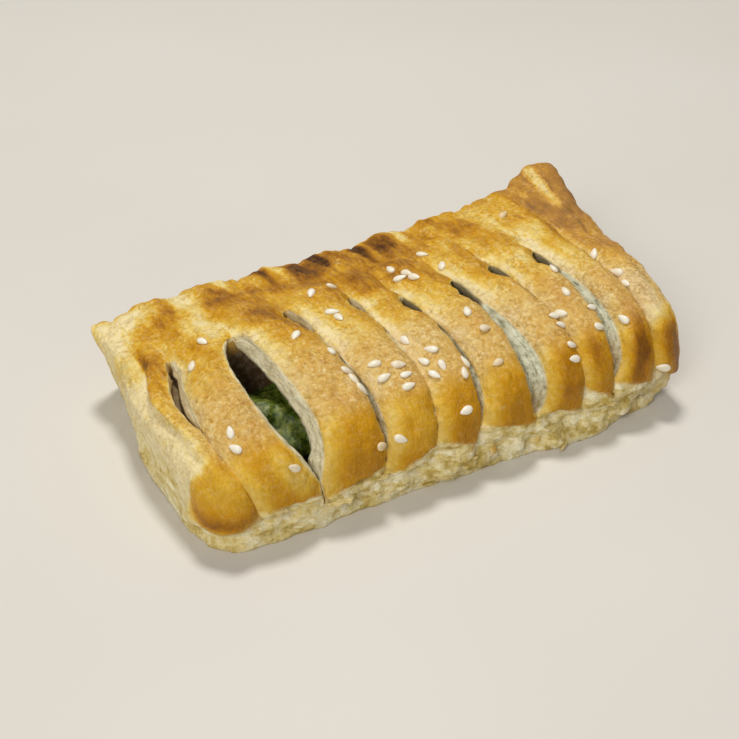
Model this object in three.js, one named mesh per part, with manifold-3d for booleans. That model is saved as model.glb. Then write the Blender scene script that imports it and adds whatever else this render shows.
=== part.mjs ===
// A puff pastry parcel with slits cut across its top, filled with green mung bean paste. It has two
// pieces: the hollow crust, with its flakes and sesame seeds fused on, and the roll of filling that
// shows through the slits. Millimetres, +Z up: the length runs along X, the cut front faces -Y, and
// the flat underside lies on Z = 0.

import * as THREE from 'three';
import { mergeVertices } from 'three/addons/utils/BufferGeometryUtils.js';
import Module from 'manifold-3d';

const wasm = await Module();
wasm.setup();

// Plan of the crust, measured from the middle of its front edge: half widths at the widest line
const FRONT_HALF = 39.5;
const BACK_HALF = 34.5;
const BACK_FOOT = 32.5;
const PLAN_CENTRE = { x: 3.95, y: -2.9 };

// Ends of the crust, each at its near corner, middle and far corner: x of its outer edge, x of its foot
// and the height of the outer edge. A wall draws in towards its foot by a power of the way down, and the
// left edge is hollowed before its far corner.
const LEFT_END = { edge: [-61, -61.8, -60.6], foot: [-59.8, -60.5, -53.5], height: [9, 11, 17] };
const RIGHT_END = { edge: [61.8, 65.9, 71.2], foot: [55, 57, 60], height: [10, 20.5, 27] };
const LEFT_WALL_POWER = 1;
const WALL_POWER = 2;
const LEFT_HOLLOW = 1.8;
const END_STRETCH = 0.3;

// The front foot from left to right, which draws back in two places
const FOOT_X = [-62, -48, -37, -26, -15, -4, 37, 47, 62];
const FOOT_Y = [39.6, 39.5, 38.6, 37, 38.6, 39.5, 40, 36.6, 36];

// The walls run on below the flat underside by this share, and the underside is cut level
const UNDERCUT = 1.2;

// Heights: the widest line along the front and the back, and the crest from left to right
const FRONT_BELLY = 9;
const BACK_BELLY = 12;
const CREST_X = [-62, -45, -33, -18, 8, 21, 44, 58, 70];
const CREST_Z = [21, 25.2, 27.2, 26.5, 26, 26.8, 28.4, 28.4, 29.5];
const BACK_FALL_X = [-62, 0, 60];
const BACK_FALL_Z = [5, 3, 1];

// How square the rounding is: of the section at front and back, and of the ends seen from above and from
// the side
const FRONT_SQUARE = 3;
const BACK_SQUARE = 6;
const LEFT_CORNER_SQUARE = 11;
const RIGHT_CORNER_SQUARE = 26;
const LEFT_TOP_SQUARE = 4.5;
const RIGHT_TOP_SQUARE = 7;

// The far corners are drawn out into tips
const LEFT_TIP_LIFT = 2.8;
const RIGHT_TIP_LIFT = 4.5;

// A place on the crust is a line and a way. Lines count from 0 at the left end, one at each slit, to
// LINES at the right end. The way runs over the section: 0 at the back edge, 1 over the middle, 2 at the
// front shoulder, 3 at the widest line of the front and 4 at the front foot.
const LINES = 10;
const SEGMENTS_PER_STRIP = 6;
const SEGMENTS_ACROSS = 17;
const SEGMENTS_UP = 7;

// Each slit line's x at the slit's back end, on the shoulder and at the front foot, and how far its valley
// sags. An opening goes right through the crust, with a share of its gap to the left of the line by its
// lean. A groove bares the sloping cut wall of the strip to its right. Each is widest towards its front
// end by its skew.
const SLITS = [
  { x: [-54.2, -56.4, -49.0], sag: 0.6, opening: { from: 0.86, to: 1.6, gap: 3.5, skew: 0.7, lean: 0.75 } },
  {
    x: [-36.8, -37.3, -34.4],
    sag: 0.3,
    opening: { from: 0.96, to: 2.85, gap: 10.8, skew: 0.75, lean: 0.54 },
  },
  {
    x: [-20.4, -18.0, -19.6],
    sag: 1,
    opening: { from: 0.8, to: 1.12, gap: 3.4, skew: 1, lean: 0.6 },
    groove: { from: 1.4, to: 2.75, gap: 1.3, skew: 1.5 },
  },
  { x: [-4.6, -4.6, -7.4], sag: 0.6, opening: { from: 0.86, to: 1.08, gap: 2.4, skew: 1, lean: 0.8 } },
  {
    x: [5.4, 7.7, 3.6],
    sag: 1,
    opening: { from: 1.0, to: 1.28, gap: 2.4, skew: 1, lean: 0.8 },
    groove: { from: 1.1, to: 2.85, gap: 1.2, skew: 1.2 },
  },
  {
    x: [19.4, 21.0, 19.6],
    sag: 0.8,
    opening: { from: 1.02, to: 1.3, gap: 2.8, skew: 1, lean: 0.75 },
    groove: { from: 1.12, to: 2.95, gap: 4.6, skew: 1.7 },
  },
  { x: [30.6, 33.0, 32.4], sag: 0.8, opening: { from: 1.0, to: 1.24, gap: 2.8, skew: 1, lean: 0.8 } },
  {
    x: [43.0, 44.0, 40.4],
    sag: 0.8,
    opening: { from: 1.02, to: 1.26, gap: 2.6, skew: 1, lean: 0.75 },
    groove: { from: 1.12, to: 2.8, gap: 3.2, skew: 1.4 },
  },
  { x: [55.4, 54.2, 52.8], sag: 1.2 },
];

// Powers that round off a cut at its back and its front end: the smaller, the blunter
const OPENING_POWER = [0.42, 0.95];
const GROOVE_POWER = [0.5, 0.5];
const CUT_DEPTH = 9.5;
const GROOVE_DEPTH = 6;

// Relief: the valleys between strips by way, and the bumps along the back edge
const VALLEY_WAY = [0.55, 1.0, 1.5, 2.2, 2.8, 3.4, 4];
const VALLEY_DEPTH = [0, 0.8, 1.0, 1.8, 1.6, 0.8, 0];
const VALLEY_SHARPNESS = 5;
const BUMP_PITCH = 16;
const BUMP_HEIGHT = 0.8;
const BUMP_START = -30;

// The hollow under the crust and the roll of filling that lies in it, as middles and half sizes
const HOLLOW = { middle: [-1, -11, 12.2], half: [51, 23, 8.6], square: 3.2 };
const FILLING = { middle: [-1, -15, 11.1], half: [46.5, 15.5, 6.4], square: 2.5 };
const FILLING_LUMP = 0.55;

// Flakes that stick out along the lower edge of the glaze and on the left wall
const FLAKE = { thick: 0.7, reach: 1.5, root: 2, way: 3.12 };
const LEFT_LEDGES = [3.5, 6.5, 9.5];

// Sesame seeds: size, how deep they sit, how far apart, and their patches as line from, line to, way from,
// way to and count
const SEED = { length: 3.4, width: 1.9, thick: 1.2, sunk: 0.4, apart: 2.6 };
const SEED_PATCHES = [
  [0.1, 0.4, 1.0, 1.16, 2], [1.3, 1.6, 0.88, 1.12, 2], [1.4, 1.68, 1.38, 1.6, 4],
  [1.2, 1.3, 1.75, 2.0, 2], [1.55, 1.85, 2.46, 2.56, 2], [2.5, 2.7, 1.1, 1.25, 1],
  [3.3, 3.9, 0.62, 0.82, 2], [3.34, 3.46, 0.98, 1.12, 2], [2.8, 2.93, 1.35, 1.9, 4],
  [3.28, 3.4, 1.64, 1.88, 2], [3.62, 3.8, 1.7, 2.02, 3], [4.08, 4.16, 1.4, 1.5, 1],
  [4.12, 4.46, 1.64, 1.98, 4], [4.7, 4.86, 1.7, 2.06, 2], [4.34, 4.56, 2.37, 2.55, 2],
  [2.8, 3.5, 2.54, 2.66, 2], [5.2, 5.54, 0.6, 0.92, 4], [5.8, 6.45, 0.54, 0.94, 2],
  [5.46, 5.62, 1.36, 1.7, 2], [5.24, 5.4, 2.0, 2.06, 1], [6.78, 7.14, 1.7, 1.86, 3],
  [7.4, 7.8, 1.3, 1.84, 3], [6.5, 6.9, 2.16, 2.4, 2], [7.55, 7.7, 2.0, 2.1, 1],
  [8.3, 8.8, 0.42, 0.5, 1], [9.08, 9.2, 1.24, 1.7, 3], [8.3, 8.4, 2.05, 2.12, 1],
  [9.18, 9.24, 2.82, 2.86, 1],
];
const FLAKE_START = 20417;
const SEED_START = 3327;

// Edges shorter than this are left-overs of the cuts
const SLIVER = 0.02;

function makeRandom(start) {
  let state = start;
  return () => {
    state = (state * 16807) % 2147483647;
    return state / 2147483647;
  };
}

function clamp01(value) {
  return Math.min(1, Math.max(0, value));
}

function mix(from, to, share) {
  return from + (to - from) * share;
}

function smooth(from, to, value) {
  const share = clamp01((value - from) / (to - from));
  return share * share * (3 - 2 * share);
}

// The value at x on straight lines between knots
function onKnots(knotsX, knotsY, x) {
  let last = 1;
  while (last < knotsX.length - 1 && x > knotsX[last]) {
    last += 1;
  }
  const share = clamp01((x - knotsX[last - 1]) / (knotsX[last] - knotsX[last - 1]));
  return mix(knotsY[last - 1], knotsY[last], share);
}

// A curve through three values, at 0, 0.5 and 1
function throughThree([first, middle, last], share) {
  const rest = 1 - share;
  return first * rest * (rest - share) + middle * 4 * share * rest + last * share * (share - rest);
}

// Share of a slit line's run, from its back end to the foot, at a place on the box round the crust
function slitShare(b, c) {
  const way = 1 - b + (1 - c) * smooth(0, 1, -b);
  const overTop = clamp01((way - 0.9) / 2.3) ** 0.66;
  const under = (1 - b) / 2;
  return c > -1 ? overTop : under;
}

// x of a line between the slit lines, with the two ends of the crust as its first and last
function lineX(line, b, share) {
  const low = Math.min(LINES - 1, Math.max(0, Math.floor(line)));
  const at = (index) => {
    if (index === 0) {
      return throughThree(LEFT_END.edge, (b + 1) / 2);
    }
    if (index === LINES) {
      return throughThree(RIGHT_END.edge, (b + 1) / 2);
    }
    return throughThree(SLITS[index - 1].x, share);
  };
  return mix(at(low), at(low + 1), line - low);
}

// Height of the widest line round the crust
function bellyHeight(qx, qy) {
  const along = mix(FRONT_BELLY, BACK_BELLY, smooth(-0.5, 1, qy));
  const left = throughThree(LEFT_END.height, (qy + 1) / 2);
  const right = throughThree(RIGHT_END.height, (qy + 1) / 2);
  const nearLeft = smooth(1 - END_STRETCH, 1, -qx);
  const nearRight = smooth(1 - END_STRETCH, 1, qx);
  return mix(mix(along, left, nearLeft), right, nearRight);
}

// How far a slit line's valley sags
function sagAt(index) {
  return index > 0 && index < LINES ? SLITS[index - 1].sag : 0;
}

// How far the skin lies above the strips' crowns at the back bumps, or below them in the valleys
function relief(line, way, x) {
  const strip = Math.min(LINES - 1, Math.floor(line));
  const across = 2 * (line - strip) - 1;
  const sag = across < 0 ? sagAt(strip) : sagAt(strip + 1);
  const inside = smooth(0, 0.8, line) * smooth(0, 0.8, LINES - line);
  const valley = sag * onKnots(VALLEY_WAY, VALLEY_DEPTH, way) * Math.abs(across) ** VALLEY_SHARPNESS;
  const nearBack = smooth(0.55, 0.1, way);
  const bump = BUMP_HEIGHT * nearBack * Math.cos((2 * Math.PI * (x - BUMP_START)) / BUMP_PITCH);
  return inside * (bump - valley);
}

// A point of the crust's skin, or below it by depth, from its place on a box that goes from -1 to 1:
// a from left to right, b from front to back and c from the underside to the top
function skin(a, b, c, depth = 0, withRelief = true) {
  const up = Math.max(c, 0);
  const square = b < 0 ? FRONT_SQUARE : BACK_SQUARE;
  const side = Math.max(Math.abs(b), up);
  const section = side > 0 ? (Math.abs(b) ** square + up ** square) ** (1 / square) / side : 1;
  const topShare = up / Math.max(1e-9, Math.abs(b) + up);
  const cornerSquare = a < 0 ? LEFT_CORNER_SQUARE : RIGHT_CORNER_SQUARE;
  const endSquare = mix(cornerSquare, a < 0 ? LEFT_TOP_SQUARE : RIGHT_TOP_SQUARE, topShare);
  const reach = Math.max(Math.abs(a), side);
  const round = reach > 0 ? (side ** endSquare + Math.abs(a) ** endSquare) ** (1 / endSquare) / reach : 1;
  const [qx, qy, qz] = [a / round, b / (round * section), up / (round * section)];

  const line = ((a + 1) * LINES) / 2;
  const roundLine = ((qx + 1) * LINES) / 2;
  let x = lineX(roundLine, qy, slitShare(b, c));
  x += LEFT_HOLLOW * smooth(0.6, 1, -qx) * smooth(0, 0.45, qy) * smooth(1, 0.6, qy);
  let y = qy * (qy < 0 ? FRONT_HALF : BACK_HALF);
  const belly = bellyHeight(qx, qy);
  const rise = onKnots(CREST_X, CREST_Z, x) - belly;
  const fall = onKnots(BACK_FALL_X, BACK_FALL_Z, x) * Math.max(qy, 0) ** 1.5;
  let z = belly + (rise - fall) * qz;

  let outY = Math.sign(qy) * Math.abs(qy) ** (square - 1) * rise;
  let outZ = qz ** (square - 1) * (qy < 0 ? FRONT_HALF : BACK_HALF);
  const outLength = Math.hypot(outY, outZ) || 1;
  outY /= outLength;
  outZ = c < 0 ? 0 : outZ / outLength;

  const way = b > -1 ? 1 - b : 3 - c;
  const sideFade = c > -1 ? 1 : 0;
  const out = (withRelief ? relief(line, way, x) * sideFade : 0) - depth;
  y += outY * out;
  z += outZ * out;

  const down = Math.max(-c, 0);
  const end = x < 0 ? LEFT_END : RIGHT_END;
  const footX = throughThree(end.foot, (qy + 1) / 2) / throughThree(end.edge, (qy + 1) / 2);
  const footY = y < 0 ? onKnots(FOOT_X, FOOT_Y, x) / FRONT_HALF : BACK_FOOT / BACK_HALF;
  const wallPower = x < 0 ? LEFT_WALL_POWER : WALL_POWER;
  x *= mix(1, footX, down ** wallPower * smooth(0.6, 1, Math.abs(qx)));
  y *= mix(1, footY, down * down);
  z *= 1 - UNDERCUT * down;

  const farCorner = smooth(0.3, 1, qy) * (1 - UNDERCUT * down);
  z += farCorner * (LEFT_TIP_LIFT * smooth(0.45, 1, -qx) + RIGHT_TIP_LIFT * smooth(0.7, 1, qx));
  return [x, y, z];
}

// A place on the crust by line and way
function onCrust(line, way, depth = 0, withRelief = true) {
  const a = (2 * line) / LINES - 1;
  return way <= 2 ? skin(a, 1 - way, 1, depth, withRelief) : skin(a, -1, 3 - way, depth, withRelief);
}

// Moves every vertex of a geometry by a rule
function mapped(geometry, rule) {
  const position = geometry.attributes.position;
  for (let i = 0; i < position.count; i += 1) {
    position.setXYZ(i, ...rule(position.getX(i), position.getY(i), position.getZ(i)));
  }
  return geometry;
}

// A closed geometry as a solid to join and cut
function solid(geometry) {
  const bare = geometry.clone();
  bare.deleteAttribute('normal');
  bare.deleteAttribute('uv');
  const merged = mergeVertices(bare, 1e-5);
  const vertProperties = new Float32Array(merged.attributes.position.array);
  const triVerts = new Uint32Array(merged.index.array);
  return new wasm.Manifold(new wasm.Mesh({ numProp: 3, vertProperties, triVerts }));
}

// A joined solid as a geometry, with the slivers that the cuts leave merged away
function geometryOf(manifold) {
  const mesh = manifold.simplify(SLIVER).getMesh();
  const geometry = new THREE.BufferGeometry();
  geometry.setAttribute('position', new THREE.BufferAttribute(mesh.vertProperties, 3));
  geometry.setIndex(new THREE.BufferAttribute(mesh.triVerts, 1));
  geometry.computeVertexNormals();
  return geometry;
}

function outerCrust() {
  const box = new THREE.BoxGeometry(2, 2, 2, LINES * SEGMENTS_PER_STRIP, SEGMENTS_ACROSS, SEGMENTS_UP);
  const below = new THREE.BoxGeometry(200, 200, 20).translate(0, 0, -10);
  return solid(mapped(box, (a, b, c) => skin(a, b, c))).subtract(solid(below));
}

// A rounded block, squarer than a sphere, with an optional uneven swelling
function roundedBlock({ middle, half, square }, columns, rows, swell = () => 0) {
  const sphere = new THREE.SphereGeometry(1, columns, rows);
  const power = 2 / square;
  return solid(
    mapped(sphere, (u, v, w) => {
      const stretch = 1 + swell(u, v, w);
      const squared = [u, v, w].map((value) => Math.sign(value) * Math.abs(value) ** power * stretch);
      return squared.map((value, index) => middle[index] + half[index] * value);
    }),
  );
}

// Share of a cut's gap at a share of its run: 0 at both ends
function lens(run, skew, [back, front]) {
  const middle = 2 * clamp01(run) ** skew - 1;
  return (1 - middle * middle) ** mix(back, front, smooth(0.2, 0.9, run));
}

// A lens-shaped cut right through the crust along a slit line, with more points towards its ends
function openingCutter(line, { from, to, gap, skew, lean }) {
  const box = new THREE.BoxGeometry(2, 2, 2, 1, 12, 1);
  return solid(
    mapped(box, (across, along, up) => {
      const run = (1 - Math.sin((along * Math.PI) / 2)) / 2;
      const half = 0.2 + (gap / 2 - 0.2) * lens(run, skew, OPENING_POWER);
      const [x, y, z] = onCrust(line, mix(from, to, run), mix(-3, CUT_DEPTH, (1 - up) / 2), false);
      return [x + half * (across + 1 - 2 * lean), y, z];
    }),
  );
}

// A groove with an upright left wall and a sloping right wall, which meet at its foot
function grooveCutter(line, { from, to, gap, skew }) {
  const box = new THREE.BoxGeometry(2, 2, 2, 1, 12, 1);
  return solid(
    mapped(box, (across, along, up) => {
      const run = (1 - along) / 2;
      const half = 0.15 + (gap / 2 - 0.15) * lens(run, skew, GROOVE_POWER);
      const deep = (1 - up) / 2;
      const side = across < 0 ? -1 : mix(2.4, -0.8, deep);
      const depth = mix(-GROOVE_DEPTH / 2, GROOVE_DEPTH, deep);
      const [x, y, z] = onCrust(line, mix(from, to, run), depth, false);
      return [x + side * half, y, z];
    }),
  );
}

// A thin curved scale rooted in the skin: rule gives the point at a share of its run and a reach outwards
function scale(run, pointAt, thick) {
  const box = new THREE.BoxGeometry(2, 2, 2, run, 1, 1);
  return solid(
    mapped(box, (along, out, up) => {
      const [x, y, z] = pointAt(along, (out + 1) / 2);
      return [x, y, z + (up * thick * mix(1, 0.5, (out + 1) / 2)) / 2];
    }),
  );
}

// One flake at the foot of each strip, where the glaze ends
function footFlakes(random) {
  const flakes = [];
  for (let strip = 0; strip < LINES; strip += 1) {
    const start = strip + 0.12 + 0.2 * random();
    const end = strip + 0.7 + 0.2 * random();
    const way = FLAKE.way + 0.4 * random();
    const reach = FLAKE.reach * (0.6 + 0.6 * random());
    flakes.push(
      scale(4, (along, out) => {
        const line = mix(end, start, (along + 1) / 2);
        const tip = reach * (1 - along ** 4);
        return onCrust(line, way, mix(FLAKE.root, -tip, out));
      }, FLAKE.thick),
    );
  }
  return flakes;
}

// Layers of the dough that stand out along the left wall
function leftLedges(random) {
  return LEFT_LEDGES.map((height) => {
    const reach = 0.5 + 0.5 * random();
    const sway = 0.6 + 0.6 * random();
    return scale(10, (along, out) => {
      const b = 0.9 * along;
      const [x, y] = skin(-1, b, height / LEFT_END.height[1] - 1);
      const tip = reach * (1 - along ** 6);
      return [x + mix(2.5, -tip, out), y, height + sway * Math.sin(2.5 * along)];
    }, FLAKE.thick);
  });
}

// Width of a cut on the skin at a way
function gapAt(cut, way, power) {
  return cut ? cut.gap * lens((way - cut.from) / (cut.to - cut.from), cut.skew, power) : 0;
}

// How far a slit's opening and groove reach from its line at a way, to its left and to its right
function reachOfCuts({ opening, groove }, way) {
  const open = gapAt(opening, way, OPENING_POWER);
  const half = gapAt(groove, way, GROOVE_POWER) / 2;
  const lean = opening ? opening.lean : 0;
  return [Math.max(lean * open, half), Math.max((1 - lean) * open, 1.5 * half)];
}

// Whether a seed at a place has skin under all of it
function clearOfCuts(way, x) {
  return SLITS.every((slit, index) => {
    const [left, right] = reachOfCuts(slit, way);
    const offset = x - onCrust(index + 1, way)[0];
    return right === 0 || offset < -left - SEED.width / 2 || offset > right + SEED.width / 2;
  });
}

// Seed places by patch, kept apart from each other and off the cuts
function seedPlaces(random) {
  const places = [];
  for (const [lineFrom, lineTo, wayFrom, wayTo, count] of SEED_PATCHES) {
    for (let n = 0; n < count; n += 1) {
      let place;
      let clear = false;
      for (let attempt = 0; attempt < 30 && !clear; attempt += 1) {
        const line = mix(lineFrom, lineTo, random());
        const way = mix(wayFrom, wayTo, random());
        const point = new THREE.Vector3(...onCrust(line, way, SEED.sunk - SEED.thick / 2));
        place = { line, way, point };
        const apart = places.every((other) => other.point.distanceTo(point) > SEED.apart);
        clear = apart && clearOfCuts(way, point.x);
      }
      if (clear) {
        places.push({ ...place, heading: Math.PI * random() });
      }
    }
  }
  return places;
}

// A flattened grain lying on the skin
function seedSolid({ line, way, point, heading }) {
  const step = 0.04;
  const at = (lineStep, wayStep) => new THREE.Vector3(...onCrust(line + lineStep, way + wayStep));
  const alongX = at(step, 0).sub(at(-step, 0));
  const alongWay = at(0, -step).sub(at(0, step));
  const normal = alongX.clone().cross(alongWay).normalize();
  const front = alongX.normalize().applyAxisAngle(normal, heading);
  const side = normal.clone().cross(front);
  const grain = new THREE.SphereGeometry(0.5, 6, 3).rotateX(Math.PI / 2);
  grain.scale(SEED.length, SEED.width, SEED.thick);
  grain.applyMatrix4(new THREE.Matrix4().makeBasis(front, side, normal).setPosition(point));
  return solid(grain);
}

function crustSolid() {
  const flakeDraws = makeRandom(FLAKE_START);
  let crust = outerCrust();
  for (const flake of [...footFlakes(flakeDraws), ...leftLedges(flakeDraws)]) {
    crust = crust.add(flake);
  }
  crust = crust.subtract(roundedBlock(HOLLOW, 22, 10));
  SLITS.forEach(({ opening, groove }, index) => {
    if (groove) {
      crust = crust.subtract(grooveCutter(index + 1, groove));
    }
    if (opening) {
      crust = crust.subtract(openingCutter(index + 1, opening));
    }
  });
  for (const place of seedPlaces(makeRandom(SEED_START))) {
    crust = crust.add(seedSolid(place));
  }
  return crust;
}

// The roll of bean paste, with soft lumps
function fillingSolid() {
  const swelling = FILLING_LUMP / FILLING.half[2];
  const lumps = (u, v, w) => swelling * Math.sin(9 * u + 3 * v) * Math.cos(5 * v - 4 * w);
  return roundedBlock(FILLING, 28, 12, lumps);
}

function namedMesh(name, manifold, colour, roughness) {
  const material = new THREE.MeshStandardMaterial({ color: colour, roughness, metalness: 0 });
  const mesh = new THREE.Mesh(geometryOf(manifold), material);
  mesh.name = name;
  return mesh;
}

const pastry = new THREE.Group();
pastry.add(namedMesh('crust', crustSolid(), 0xb98234, 0.5));
pastry.add(namedMesh('filling', fillingSolid(), 0x4c5a1e, 0.45));
pastry.position.set(-PLAN_CENTRE.x, -PLAN_CENTRE.y, 0);

export default pastry;
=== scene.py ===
"""A slit-topped puff pastry with a green mung bean filling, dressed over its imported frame."""
import math

import bmesh
import bpy
import numpy as np
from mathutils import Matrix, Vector
from mathutils.bvhtree import BVHTree


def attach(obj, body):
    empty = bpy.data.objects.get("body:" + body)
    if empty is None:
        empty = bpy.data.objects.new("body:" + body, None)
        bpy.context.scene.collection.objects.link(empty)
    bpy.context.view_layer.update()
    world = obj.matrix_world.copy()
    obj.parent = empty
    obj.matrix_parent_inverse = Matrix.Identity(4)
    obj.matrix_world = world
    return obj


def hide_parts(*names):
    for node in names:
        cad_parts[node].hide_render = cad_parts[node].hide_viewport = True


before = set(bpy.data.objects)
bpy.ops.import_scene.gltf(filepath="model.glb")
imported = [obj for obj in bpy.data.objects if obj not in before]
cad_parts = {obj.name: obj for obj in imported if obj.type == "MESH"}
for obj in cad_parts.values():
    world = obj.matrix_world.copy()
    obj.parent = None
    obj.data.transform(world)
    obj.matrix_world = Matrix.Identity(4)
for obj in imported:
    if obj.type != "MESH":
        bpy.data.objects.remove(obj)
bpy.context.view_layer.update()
MM = 0.001

# Plan of the crust in millimetres: its reach to the front and the back, the reach of its back foot, and the
# frame's origin on that plan
FRONT_HALF = 39.5
BACK_HALF = 34.5
BACK_FOOT = 32.5
FRAME_ORIGIN = (3.95, -2.9, 0.0)

# Ends of the crust, each at its near corner, middle and far corner. A wall draws in towards its foot by a
# power of the way down, and the left edge is hollowed before its far corner.
LEFT_EDGE = (-61.0, -61.8, -60.6)
LEFT_FOOT = (-59.8, -60.5, -53.5)
LEFT_HEIGHT = (9.0, 11.0, 17.0)
RIGHT_EDGE = (61.8, 65.9, 71.2)
RIGHT_FOOT = (55.0, 57.0, 60.0)
RIGHT_HEIGHT = (10.0, 20.5, 27.0)
LEFT_WALL_POWER = 1
WALL_POWER = 2
LEFT_HOLLOW = 1.8
END_STRETCH = 0.3
UNDERCUT = 1.2

# The front foot from left to right, which draws back in two places
FOOT_X = (-62, -48, -37, -26, -15, -4, 37, 47, 62)
FOOT_Y = (39.6, 39.5, 38.6, 37, 38.6, 39.5, 40, 36.6, 36)

# Heights: the widest line along front and back, the crest from left to right, and its fall to the back
FRONT_BELLY = 9.0
BACK_BELLY = 12.0
CREST_X = (-62, -45, -33, -18, 8, 21, 44, 58, 70)
CREST_Z = (21, 25.2, 27.2, 26.5, 26, 26.8, 28.4, 28.4, 29.5)
BACK_FALL_X = (-62, 0, 60)
BACK_FALL_Z = (5, 3, 1)

# How square the rounding is, and how far the far corners are drawn up
FRONT_SQUARE = 3.0
BACK_SQUARE = 6.0
LEFT_CORNER_SQUARE = 11.0
RIGHT_CORNER_SQUARE = 26.0
LEFT_TOP_SQUARE = 4.5
RIGHT_TOP_SQUARE = 7.0
LEFT_TIP_LIFT = 2.8
RIGHT_TIP_LIFT = 4.5

# A place on the crust is a line and a way. Lines count from 0 at the left end, one at each slit, to LINES at
# the right end. The way runs over the section: -2 at the back foot, 0 at the back edge, 1 over the middle,
# 2 at the front shoulder, 3 at the widest line of the front and 4 at the front foot.
LINES = 10

# The crust's grid: columns on a strip, rows over the top and on a wall, and columns in a slit from corner to
# corner of its section
COLUMNS_PER_STRIP = 28
ROWS_TOP = 130
ROWS_WALL = 44
SLIT_COLUMNS = (4, 2, 2, 4, 2, 2, 7)

# Each slit: its x at the back end, the shoulder and the foot, how much its valley sags, its opening through
# the crust as (way from, way to, gap, skew, share of the gap left of the slit line), its groove as (way from,
# way to, gap, skew), its seam as (way from, way to, strength), and the ways over which its groove darkens
# with painted shade.
# The last line is a valley alone.
SLITS = (
    dict(x=(-54.2, -56.4, -49.0), sag=0.6, kind="leaf", opening=(0.86, 1.6, 3.5, 0.7, 0.75),
         seam=(0.9, 3.0, 0.5)),
    dict(x=(-36.8, -37.3, -34.4), sag=0.3, kind="wide", opening=(0.96, 2.85, 10.8, 0.75, 0.54),
         seam=(1.0, 3.3, 0.8), shadow=(2.3, 2.7)),
    dict(x=(-20.4, -18.0, -19.6), sag=1.0, kind="dimple", opening=(0.80, 1.12, 3.4, 1.0, 0.6),
         groove=(1.4, 2.75, 1.3, 1.5), seam=(0.8, 3.0, 0.7), shadow=(1.7, 2.1)),
    dict(x=(-4.6, -4.6, -7.4), sag=0.6, kind="dimple", opening=(0.86, 1.08, 2.4, 1.0, 0.8),
         seam=(0.85, 2.9, 0.35)),
    dict(x=(5.4, 7.7, 3.6), sag=1.0, kind="hole", opening=(1.0, 1.28, 2.4, 1.0, 0.8),
         groove=(1.1, 2.85, 1.2, 1.2), seam=(1.0, 2.9, 0.7), shadow=(1.9, 2.4)),
    dict(x=(19.4, 21.0, 19.6), sag=0.8, kind="hole", opening=(1.02, 1.3, 2.8, 1.0, 0.75),
         groove=(1.12, 2.95, 4.6, 1.7), seam=(1.0, 3.2, 0.8), shadow=(2.2, 2.9)),
    dict(x=(30.6, 33.0, 32.4), sag=0.8, kind="hole", opening=(1.0, 1.24, 2.8, 1.0, 0.8),
         seam=(0.98, 3.2, 0.5)),
    dict(x=(43.0, 44.0, 40.4), sag=0.8, kind="hole", opening=(1.02, 1.26, 2.6, 1.0, 0.75),
         groove=(1.12, 2.80, 3.2, 1.4), seam=(1.0, 3.0, 0.7), shadow=(1.9, 2.5)),
    dict(x=(55.4, 54.2, 52.8), sag=1.2),
)

# Where along the way a slit line's run starts, how long the run is, and its power
SLIT_RUN_FROM = 0.9
SLIT_RUN = 2.3
SLIT_RUN_POWER = 0.66

# Cuts: powers that round off their back and front ends, the smaller the blunter, and sizes. A groove is
# GROOVE_DEPTH deep where its gap is WIDEST_GROOVE, and reaches farther to the right of its line.
OPENING_POWER = (0.42, 0.95)
GROOVE_POWER = (0.5, 0.5)
GROOVE_FLOOR_POWER = (0.4, 0.4)
SEAM_POWER = (0.3, 0.3)
SEAM_HALF = 0.14
SEAM_DEPTH = 1.5
GROOVE_DEPTH = 4.2
WIDEST_GROOVE = 4.6
GROOVE_TO_RIGHT = 1.5

# Kinds of opening: width and depth of the right wall's slant, widths of the left bevel at the two inside ways
# and its depth, how far the crust is undercut, depth of the floor, painted shade from the left edge over the
# floor to the right edge, and how far the inside is painted black as shade at the two inside ways
INSIDE_WAYS = (1.0, 2.4)
OPENINGS = dict(
    wide=dict(wall=(2.6, 3.2), bevel=(0.2, 1.6, 1.1), under=7.0, floor=15.0,
              gloom=(0.0, 0.0, 1, 1, 1, 1, 0.1, 0.0), black=(0.0, 1.0)),
    leaf=dict(wall=(1.9, 2.6), bevel=(0.2, 0.2, 3.0), under=0.5, floor=4.5,
              gloom=(0.3, 0.9, 0.9, 0.85, 0.8, 0.7, 0.35, 0.0), black=(0.0, 0.1)),
    dimple=dict(wall=(1.2, 2.6), bevel=(0.2, 0.2, 2.8), under=0.3, floor=3.6,
                gloom=(0.6, 1, 1, 1, 1, 1, 0.9, 0.2), black=(0.3, 0.3)),
    hole=dict(wall=(0.25, 4.0), bevel=(0.15, 0.15, 4.5), under=0.5, floor=8.0,
              gloom=(0.8, 1, 1, 1, 1, 1, 1.0, 0.5), black=(0.82, 0.82)),
)
# Painted shade over the corners of a seam's and a groove's section, and where a groove darkens
GROOVE_GLOOM = (0.0, 0.6, 0.7, 0.7, 0.7, 0.7, 0.12, 0.0)
GROOVE_SHADOW = (0.5, 1.0, 1.0, 1.0, 1.0, 1.0, 0.8, 0.3)
SEAM_GLOOM = (0.0, 0.4, 0.5, 0.5, 0.5, 0.5, 0.4, 0.0)

# Relief: valleys between strips by way, and bumps along the back edge
VALLEY_WAY = (0.55, 1.0, 1.5, 2.2, 2.8, 3.4, 4.0)
VALLEY_DEPTH = (0, 0.8, 1.0, 1.8, 1.6, 0.8, 0)
VALLEY_SHARPNESS = 5.0
BUMP_PITCH = 16.0
BUMP_HEIGHT = 0.8
BUMP_START = -30.0

# Height of the glaze's lower edge on the front of each strip, at the strip's left and right side
GLAZE_FOOT = (
    (6.5, 9.8), (9.3, 9.0), (7.0, 10.0), (7.4, 11.5), (12.4, 8.2),
    (12.2, 8.4), (10.5, 8.2), (13.2, 9.0), (12.5, 8.8), (11.5, 8.0),
)
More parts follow.
